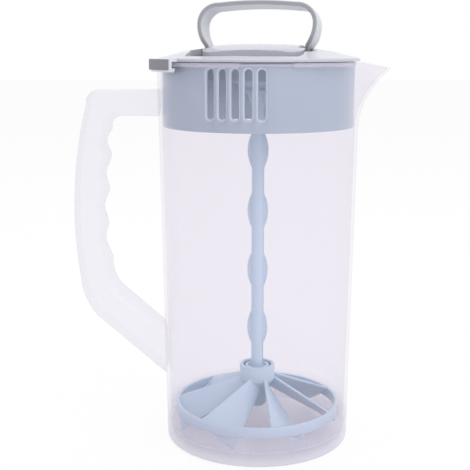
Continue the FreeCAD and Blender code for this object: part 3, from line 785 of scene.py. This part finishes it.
def pocket_outline(grow=0.0):
    """The pocket as (x, y) points: it follows the folded bail, with a little room round it."""
    line = half_arch()[3:]
    room = POCKET_ROOM + grow
    side = [(WELL_HALF + grow, POCKET_BACK + grow), (WELL_HALF + grow, 0.0)]
    for before, here, after in zip(line, line[1:], line[2:]):
        run = Vector((after[0] - before[0], after[1] - before[1])).normalized()
        x = min(here[0] + run.y * room, POCKET_HALF + grow)
        if x > 0.5:
            side.append((x, -here[1] + run.x * room))
    return side + [(-x, y) for x, y in reversed(side)]


print("pocket", len(pocket_outline()), "points")

# %% [markdown]
# The lid's dome is lathed. A tub with a thin wall is hung under it, and then well, pocket and scoop are
# cut out of both. The recess and every face above that does not face up are painted a darker grey as
# painted shade, and the underside is the skirt's blue, which on the plug's outer wall is painted shade.

# %% Lid cover
TUB_WALL, TUB_FLOOR, TUB_JOIN = 1.6, 202.0, 207.8
SCOOP_FLOOR, ABOVE_LID = 212.4, 225.0
SHAFT_HOLE_R, SHAFT_HOLE_Z = 6.6, (190, 210)


def cutter(name, outline, z_low, z_high=ABOVE_LID):
    return block(name, outline, z_low, z_high, lid_finish)


dome = [(LID_R, LID_EDGE - 0.5)] + dome_line()
dome += [(0, PLUG_LOW), (PLUG_R, PLUG_LOW), (PLUG_R, LID_UNDER), (LID_R, LID_UNDER)]
cover = mesh_object("lid_dome", lathe(dome, 192), lid_finish)
hole = mesh_object("shaft_hole", lathe(box(0, SHAFT_HOLE_R, *SHAFT_HOLE_Z), 48), lid_finish)
boolean(cover, [cutter("tub", outline(TUB_WALL), TUB_FLOOR - TUB_WALL, TUB_JOIN)
                for outline in (well_outline, pocket_outline)], "UNION")
scoop_outline = plate_outline(SCOOP_HALF, SCOOP_FRONT, SCOOP_BACK, SCOOP_CORNER)
boolean(cover, [cutter("well", well_outline(), TUB_FLOOR), cutter("pocket", pocket_outline(), TUB_FLOOR),
                cutter("scoop", scoop_outline, SCOOP_FLOOR), hole])
for finish in (skirt_finish, painted_shade_finish):
    cover.data.materials.append(finish)


def cover_part(face):
    """Index of a face's finish: 0 for the crown, 1 for the skirt's blue below, which on the plug's outer wall
    is painted shade, 2 for painted shade in a darker grey.
    """
    outward = face.normal.x * face.center.x + face.normal.y * face.center.y
    if face.center.z < LID_UNDER * MM + 1e-5:
        # painted shade: the plug's outer wall, seen through the slots, takes the skirt's blue in place of the
        # lid's grey
        return 1 if face.normal.z < -0.5 or outward > MM else 2
    return 2 if face.normal.z < 0.8 else 0


for face in cover.data.polygons:
    face.material_index = cover_part(face)
soften(turn_about_z(cover, LID_TURN), 0.45, 28)
stands_for(cover, "lid", "lid_cover")
print("lid cover", len(cover.data.polygons), "faces", [m.name for m in cover.data.materials])

# %% [markdown]
# One bracket reaches over the bead and hooks under it. A darker matt pad covers its outside, where a
# thumb pushes the lid round. A pale border is left below it and to its right.

# %% Clip bracket and its pad
CLIP_AZ, CLIP_SPAN = 222.2, 24.0
CLIP_ROOT_R, CLIP_HOOK_R, CLIP_IN_R, CLIP_R = 52.5, 55.2, 57.4, 58.6
CLIP_LOW, CLIP_HOOK_Z, CLIP_TOP = 204.6, 206.6, 211.3
PAD_THICK, PAD_BORDER_LOW, PAD_BORDER_TOP, PAD_BORDER_SIDE = 0.9, 1.0, 0.3, 1.2

clip_start = CLIP_AZ - CLIP_SPAN / 2 + LID_TURN
clip_end = clip_start + CLIP_SPAN
bracket_section = rounded([(CLIP_ROOT_R, LID_UNDER), (CLIP_IN_R, LID_UNDER), (CLIP_IN_R, CLIP_HOOK_Z),
                           (CLIP_HOOK_R, CLIP_HOOK_Z), (CLIP_HOOK_R + 0.6, CLIP_LOW), (CLIP_R, CLIP_LOW),
                           (CLIP_R, CLIP_TOP), (CLIP_ROOT_R, CLIP_TOP)], 0.3)
bracket = ring_stretch("clip_bracket", bracket_section, clip_start, clip_end, bracket_finish, 16)
stands_for(bracket, "lid")
pad_low, pad_top = CLIP_LOW + PAD_BORDER_LOW, CLIP_TOP - PAD_BORDER_TOP
pad_section = rounded(box(CLIP_R, CLIP_R + PAD_THICK, pad_low, pad_top), 0.25)
pad = ring_stretch("thumb_pad", pad_section, clip_start, clip_end - PAD_BORDER_SIDE, pad_finish, 16)
stands_for(pad, "lid", "clip_pad")
print("clip made")

# %% [markdown]
# Under the lid a bush guides the shaft, with a soft wiper at its top, and a silicone ring closes the gap
# between skirt and jug. They are plain turned shapes.

# %% Seal, guide bush and wiper
SEAL_R, SEAL_LIP_R = 51.6, 52.1
BUSH_BORE_R, WIPER_R, BUSH_TUBE_R, BUSH_FOOT_R, BUSH_FLANGE_R = 6.25, 7.85, 8.8, 10.0, 15.0
BUSH_LOW, BUSH_FOOT_TOP = 193.2, 194.6
BUSH_TOP = TUB_FLOOR - TUB_WALL
FLANGE_THICK, WIPER_THICK = 2.0, 1.4


def turned_piece(name, section, finish, body, node, ease=0.3, steps=96):
    """A lathed piece that stands for one node."""
    piece = mesh_object(name, lathe(rounded(section, ease), steps), finish)
    stands_for(piece, body, node)


seal_low, seal_top = SEAL_Z
seal_mid = (seal_low + seal_top) / 2
turned_piece("silicone_ring", [(SEAL_SEAT_R, seal_low), (SEAL_R, seal_low), (SEAL_LIP_R, seal_mid),
                               (SEAL_R, seal_top), (SEAL_SEAT_R, seal_top)],
             silicone_finish, "lid", "lid_seal", 0.3, 160)
flange_low, wiper_low = BUSH_TOP - FLANGE_THICK, BUSH_TOP - WIPER_THICK
# the bush takes the paler blue, painted light against the shade under the lid
turned_piece("shaft_bush", [(BUSH_BORE_R, BUSH_LOW), (BUSH_FOOT_R, BUSH_LOW), (BUSH_FOOT_R, BUSH_FOOT_TOP),
                            (BUSH_TUBE_R, BUSH_FOOT_TOP + 0.6), (BUSH_TUBE_R, flange_low),
                            (BUSH_FLANGE_R, flange_low), (BUSH_FLANGE_R, BUSH_TOP), (WIPER_R, BUSH_TOP),
                            (WIPER_R, wiper_low), (BUSH_BORE_R, wiper_low)],
             bush_painted_light_finish, "lid", "guide_bush")
turned_piece("wiper_ring", box(BUSH_BORE_R, WIPER_R, wiper_low, BUSH_TOP), silicone_finish, "lid",
             "shaft_wiper", 0.2, 48)
print("seal and bush made")

# %% [markdown]
# The shaft is a round core with five flat leaves, all in one plane. As it is pumped the leaves stir the
# formula, and they still pass the bush. One cross-section, a circle with a wing on each side, is drawn
# at many heights, and the wings grow and shrink along an arc. Where there is no leaf they lie flush.

# %% Mixer shaft
SHAFT_R, SHAFT_LOW, SHAFT_TOP = 3.4, 17.6, 213.8
SHAFT_AT_HUB, CAP_LOW = 30.0, 202.4
FIN_FIRST, FIN_PITCH, FIN_COUNT = 62.3, 33.2, 5
FIN_HALF, FIN_BOW, FIN_THICK = 5.75, 20.0, 1.8
FIN_LENGTH = math.sqrt(FIN_BOW**2 - (FIN_BOW - FIN_HALF + SHAFT_R) ** 2)


def fin_reach(z):
    """How far a leaf reaches from the axis at a height, or the core's radius between leaves."""
    nearest = min(abs(z - (FIN_FIRST + index * FIN_PITCH)) for index in range(FIN_COUNT))
    if nearest >= FIN_LENGTH or z > CAP_LOW:
        return SHAFT_R
    return FIN_HALF - FIN_BOW + math.sqrt(FIN_BOW**2 - nearest**2)


def shaft_section(reach):
    """Cross-section of the shaft: two wings on a round core."""
    half = FIN_THICK / 2
    root = math.degrees(math.asin(half / SHAFT_R))
    side = arc((0, 0), SHAFT_R, root, 180 - root, 14)
    tip = max(reach - 0.3, side[0][0])
    wing = [(max(reach, SHAFT_R), half * 0.6), (tip, half)]
    upper = side + [(-x, y) for x, y in reversed(wing)]
    return [(x, -y) for x, y in wing] + wing + upper + [(x, -y) for x, y in reversed(upper)]


def build_shaft(shape):
    heights = {SHAFT_LOW, SHAFT_AT_HUB, SHAFT_TOP}
    for index in range(FIN_COUNT):
        middle = FIN_FIRST + index * FIN_PITCH
        heights |= {middle + FIN_LENGTH * step / 12 for step in range(-12, 13)}
    stack(shape, [[(x, y, z) for x, y in shaft_section(fin_reach(z))] for z in sorted(heights)])


shaft = turn_about_z(mesh_object("finned_shaft", build_shaft, wheel_finish, 40), LID_TURN)
stands_for(shaft, "plunger", "mixer_shaft")
print("shaft", len(shaft.data.polygons), "faces")

# %% [markdown]
# The cap closes the lid's well and carries the bail, and its top continues the lid's crown. It is what an
# upright block with rounded corners shares with a disc whose upper side is bent to that crown. A notch
# at each end lets the bail's feet reach their pins.

# %% Plunger cap
CAP_HALF, CAP_DEPTH, CAP_CORNER = 27.2, 19.8, 7.0
CAP_TOP, CAP_BOW_X, CAP_BOW_Y = 218.7, 370.0, 63.0
CROWN_R, CROWN_STEP, CROWN_LOW, ABOVE_CAP = 44, 2, 150, 222
NOTCH_X, NOTCH_FRONT, NOTCH_BACK, NOTCH_DEEP = 23.4, -10.6, 8.4, 10.0
NOTCH_Z = (195, 225)


def crown_warp(r, z, angle):
    """Bends the upper side of a disc to the crown, which bows little along the cap and more across."""
    if z < CAP_LOW:
        return r, z
    x, y = r * math.cos(angle), r * math.sin(angle)
    fall_x, fall_y = x * x / (2 * CAP_BOW_X), y * y / (2 * CAP_BOW_Y)
    return r, CAP_TOP - fall_x - fall_y - fall_x * fall_y * 0.32


def notch(side):
    """The block that cuts the notch at one end of the cap."""
    left, right = sorted((side * NOTCH_X, side * (NOTCH_X + NOTCH_DEEP)))
    return block("notch", box(left, right, NOTCH_FRONT, NOTCH_BACK), *NOTCH_Z, cap_finish)


cap_outline = plate_outline(CAP_HALF, -CAP_DEPTH, CAP_DEPTH, CAP_CORNER)
cap = block("plunger_top", cap_outline, CAP_LOW, ABOVE_CAP, cap_finish)
disc = [(0, CROWN_LOW), (CROWN_R, CROWN_LOW)] + [(r, CAP_TOP) for r in range(CROWN_R, -1, -CROWN_STEP)]
boolean(cap, [mesh_object("cap_crown", lathe(disc, 128, crown_warp), cap_finish)], "INTERSECT")
boolean(cap, [notch(-1), notch(1)])
cap.data.materials.append(painted_shade_finish)
# painted shade: the cap's walls, which do not face up, take the darker grey
for face in cap.data.polygons:
    face.material_index = 1 if face.normal.z < 0.6 else 0
soften(turn_about_z(cap, LID_TURN), 1.4, 40, 4)
stands_for(cap, "plunger", "plunger_cap")
print("cap", len(cap.data.polygons), "faces")

# %% [markdown]
# The bail is a broad thin strap bent into an oval. Shallow grooves run along its outer face, and its
# two rims are left plain. Sweeping the strap's cross-section along the arch keeps each groove at one
# depth. Near the pivots the strap narrows to an eye.

# %% Strap of the bail
PIVOT = Vector((0, 0, 211.0 * MM))
BAIL_LEAN = 7.0
BAIL_THICK, BAIL_BAND, RIM_EASED, EYE_R = 2.4, 16.5, 0.5, 4.4
GROOVE_COUNT, GROOVE_WIDTH, GROOVE_DEPTH = 3, 1.1, 0.45


def strap_section(share_width):
    """(across, out) corners of the strap, with eased rims and grooves on the outer side."""
    half, out, ease = BAIL_BAND / 2 * share_width, BAIL_THICK / 2, RIM_EASED
    line = [(-half, -out + ease), (-half + ease, -out), (half - ease, -out), (half, -out + ease),
            (half, out - ease), (half - ease, out)]
    for index in reversed(range(GROOVE_COUNT)):
        middle = (index - (GROOVE_COUNT - 1) / 2) * BAIL_BAND / (GROOVE_COUNT + 1) * share_width
        wide = GROOVE_WIDTH / 2
        line += [(middle + wide, out), (middle + wide * 0.6, out - GROOVE_DEPTH),
                 (middle - wide * 0.6, out - GROOVE_DEPTH), (middle - wide, out)]
    return line + [(-half + ease, out), (-half, out - ease)]


def strap_painted_shade():
    """For each side of the strap's section, how much painted shade it gets: 1 on a rim, less in a groove, and 0
    elsewhere.
    """
    groove = [0.35, 0.8, 0.35, 0.0]
    return [0.6, 0.0, 0.6, 1.0, 0.6, 0.0] + groove * GROOVE_COUNT + [0.6, 1.0]


def strap_share(height):
    """How wide the strap is at a height above the pivot, as a share of its full width."""
    eye = EYE_R / (BAIL_BAND / 2)
    if height < 0:
        return eye * math.sqrt(max(1 - (height / EYE_R) ** 2, 0.2))
    return min(1.0, eye + (1 - eye) * max(height - 0.6, 0) / 9.4)


print("strap section", len(strap_section(1.0)), "points")

# %% [markdown]
# The section is swept along the arch from foot to foot. The mesh's map keeps how much painted shade each
# side of the strap gets, for its finish. Last, the bail is leant back a little and set on its pivot.

# %% Bail


def build_bail(shape):
    left = [(-x, z) for x, z in half_arch()]
    path = left + [(-x, z) for x, z in reversed(left[:-1])]
    uv_layer = shape.loops.layers.uv.new("strap")
    layers = []
    for index, (x, z) in enumerate(path):
        before, after = path[max(index - 1, 0)], path[min(index + 1, len(path) - 1)]
        run = Vector((after[0] - before[0], after[1] - before[1])).normalized()
        section = strap_section(strap_share(z))
        layers.append([(x - run.y * out, across, z + run.x * out) for across, out in section])
    stack(shape, layers)
    # painted shade on the rims and grooves, one value per side of the section
    painted_shades = strap_painted_shade()
    for index, face in enumerate(shape.faces):
        for loop in face.loops:
            loop[uv_layer].uv = (0.5, painted_shades[index % len(painted_shades)] if len(face.verts) == 4 else 0.0)


bail = mesh_object("bail_strap", build_bail, bail_finish, 30)
bail_place = (Matrix.Rotation(math.radians(LID_TURN), 4, "Z") @ Matrix.Translation(PIVOT)
              @ Matrix.Rotation(math.radians(-BAIL_LEAN), 4, "X"))
bail.data.transform(bail_place)
stands_for(bail, "bail", "bail_handle")
pin_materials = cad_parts["bail_pins"].data.materials
pin_materials.clear()
pin_materials.append(pin_finish)
print("bail", len(bail.data.polygons), "faces")

# %% [markdown]
# The mixing wheel is what the plunger pumps. Seven slanted blades stand between a hub and a ring, and
# when the wheel is pushed through the liquid they make it spin. Each blade is ruled between a short
# line on the hub and a long one on the ring, so it twists as it goes out, as a turbine blade does.

# %% Blades of the wheel
WHEEL_R, RING_WALL, RING_TOP, RING_TALL = 45.8, 1.7, 20.1, 5.9
BLADE_COUNT, BLADE_FIRST, BLADE_THICK, BLADE_IN_R, BLADE_OUT_R = 7, 240.0, 1.7, 6.2, 44.9
BLADE_COLUMNS = 16
# share of the way down the blade, and how thick it is there, as a share of its full thickness
BLADE_ROWS = ((0.0, 0.35), (0.015, 0.8), (0.06, 1.0), (0.25, 1.0), (0.5, 1.0), (0.75, 1.0), (0.94, 1.0),
              (0.985, 0.8), (1.0, 0.35))
HUB_TOP_LINE, RING_TOP_LINE = (9.9, 0.2, 33.8), (43.0, -9.9, 20.1)
HUB_LOW_LINE, RING_LOW_LINE = (9.3, 5.4, 24.9), (43.0, 9.9, 7.8)


def on_line(first, last, x):
    """The point at x on the line through two points."""
    share = (x - first[0]) / (last[0] - first[0])
    return Vector([p + (q - p) * share for p, q in zip(first, last)])


def blade_point(reach, share, offset):
    """A point of the blade at a distance from the axis, between its two edges and to one side of it."""
    x = reach
    for _ in range(3):
        top, low = on_line(HUB_TOP_LINE, RING_TOP_LINE, x), on_line(HUB_LOW_LINE, RING_LOW_LINE, x)
        run = (low - top).normalized()
        point = top.lerp(low, share) + Vector((0, -run.z, run.y)) * offset
        x = math.sqrt(max(reach**2 - point.y**2, 4.0))
    return point


def build_blade(shape, spin):
    """One twisted blade as two grids of points, with eased edges, that end inside the hub and the ring."""
    columns, rows = BLADE_COLUMNS, len(BLADE_ROWS) - 1
    reaches = [BLADE_IN_R + (BLADE_OUT_R - BLADE_IN_R) * column / columns for column in range(columns + 1)]
    turn = Matrix.Rotation(spin, 3, "Z")
    front, back = ([[shape.verts.new(turn @ (blade_point(reach, share, side * BLADE_THICK / 2 * thick) * MM))
                     for share, thick in BLADE_ROWS] for reach in reaches] for side in (1, -1))
    for grid in (front, back):
        for near, far in zip(grid, grid[1:]):
            for row in range(rows):
                shape.faces.new((near[row], near[row + 1], far[row + 1], far[row]))
    for near, far, near_back, far_back in zip(front, front[1:], back, back[1:]):
        for row in (0, rows):
            shape.faces.new((near[row], far[row], far_back[row], near_back[row]))
    for row in range(rows):
        for line, line_back in ((front[0], back[0]), (front[-1], back[-1])):
            shape.faces.new((line[row], line[row + 1], line_back[row + 1], line_back[row]))


print("a blade has", (BLADE_COLUMNS + 1) * len(BLADE_ROWS), "points on each side")

# %% [markdown]
# The hub is a stepped socket with a bore for the shaft, and the ring is a plain band. The blades run a
# little way into both, as they would in one moulding.

# %% Mixing wheel
HUB_R, HUB_WALL, HUB_TUBE_R, BORE_R = 9.9, 2.0, 6.6, 3.75
HUB_LOW, HUB_SHOULDER, HUB_SEAT, HUB_TOP = 20.0, 27.6, 32.0, 40.8


def build_wheel(shape):
    ring_section = rounded(box(WHEEL_R - RING_WALL, WHEEL_R, RING_TOP - RING_TALL, RING_TOP), 0.45)
    lathe(ring_section, 160)(shape)
    hub = rounded([(BORE_R, HUB_LOW), (HUB_TUBE_R, HUB_LOW), (HUB_TUBE_R, HUB_SHOULDER), (HUB_R, HUB_SEAT),
                   (HUB_R, HUB_TOP), (HUB_R - HUB_WALL, HUB_TOP), (HUB_R - HUB_WALL, HUB_SEAT),
                   (BORE_R, HUB_SEAT)], 0.5)
    lathe(hub, 72)(shape)
    for index in range(BLADE_COUNT):
        build_blade(shape, math.radians(BLADE_FIRST) + TAU * index / BLADE_COUNT)


wheel = stands_for(mesh_object("turbine_wheel", build_wheel, wheel_finish, 40), "wheel", "mixing_wheel")
print("wheel", len(wheel.data.polygons), "faces")

# %% [markdown]
# Two small turned pieces hold the wheel on its shaft: a collar above the hub's floor and a snap
# retainer below it. Both stay with the plunger while the wheel turns freely between them.

# %% Collar and retainer
GRIP_R = SHAFT_R + 0.02
COLLAR_R, COLLAR_RIM_R, COLLAR_DISH_R = 6.7, 5.2, 4.7
COLLAR_LOW, COLLAR_DISH, COLLAR_TOP = 32.35, 38.7, 40.2
RETAINER_TIP_R, RETAINER_R = 4.0, 5.2
RETAINER_LOW, RETAINER_TOP = 16.4, 19.65

turned_piece("hub_collar", [(GRIP_R, COLLAR_LOW), (COLLAR_R, COLLAR_LOW), (COLLAR_R, COLLAR_TOP),
                            (COLLAR_RIM_R, COLLAR_TOP), (COLLAR_DISH_R, COLLAR_DISH), (GRIP_R, COLLAR_DISH)],
             wheel_finish, "plunger", "wheel_collar", 0.4, 64)
turned_piece("snap_retainer", [(0, RETAINER_LOW), (RETAINER_TIP_R, RETAINER_LOW), (RETAINER_R, SHAFT_LOW),
                               (RETAINER_R, RETAINER_TOP), (GRIP_R, RETAINER_TOP), (GRIP_R, SHAFT_LOW),
                               (0, SHAFT_LOW)],
             wheel_finish, "plunger", "wheel_retainer", 0.3, 64)
print("collar and retainer made")

# %% [markdown]
# The stage is a white floor in soft light. The background is white only for what is seen, so the light
# stays low enough for the pale lid and jug to keep their colour.

# %% Floor, world and lamps
FLOOR_REACH, FLOOR_GLOW = 6.0, 0.9
WHITE = (1, 1, 1, 1)


def pale_floor():
    """Matt white with faint dust. For the camera most of it glows, and the rest keeps the shadow."""
    paint = Paint("pale_floor")
    dust = paint.blend(paint.noise(30, 4), linear(246, 246, 248), linear(252, 252, 253))
    diffuse = paint.node("BsdfDiffuse", {"Color": dust})
    white = paint.node("Emission", {"Color": WHITE, "Strength": 1.0})
    return paint.finish(paint.node("MixShader", {0: paint.seen() * FLOOR_GLOW, 1: diffuse, 2: white}))


def build_floor(shape):
    corners = ((-1, -1), (1, -1), (1, 1), (-1, 1))
    shape.faces.new([shape.verts.new((x * FLOOR_REACH, y * FLOOR_REACH, -0.0002)) for x, y in corners])


floor = mesh_object("floor", build_floor, pale_floor())


def make_world():
    """A cool, dimmer fill for lighting the piece, and plain white for what is seen."""
    sky = Paint("studio", "worlds")
    fill = sky.node("Background", {"Color": (0.93, 0.95, 1.0, 1), "Strength": 0.80})
    backdrop = sky.node("Background", {"Color": WHITE, "Strength": 1.0})
    return sky.finish(sky.node("MixShader", {0: sky.seen(), 1: fill, 2: backdrop}), "OutputWorld")


def soft_lamp(name, place, aim, watts):
    """A square lamp, sized to be just as bright as the white around it, so that gloss doesn't show it."""
    data = bpy.data.lights.new(name, "AREA")
    data.size = math.sqrt(watts / math.pi)
    data.energy = watts
    lamp = bpy.data.objects.new(name, data)
    lamp.location = place
    lamp.rotation_euler = (Vector(aim) - Vector(place)).to_track_quat("-Z", "Y").to_euler()
    scene.collection.objects.link(lamp)


scene.world = make_world()
soft_lamp("key", (0.75, -0.95, 0.9), (0, 0, 0.12), 7.0)
soft_lamp("top", (0.0, 0.2, 1.3), (0, 0, 0.1), 5.0)
scene.view_settings.view_transform = "Standard"
print("stage lit")
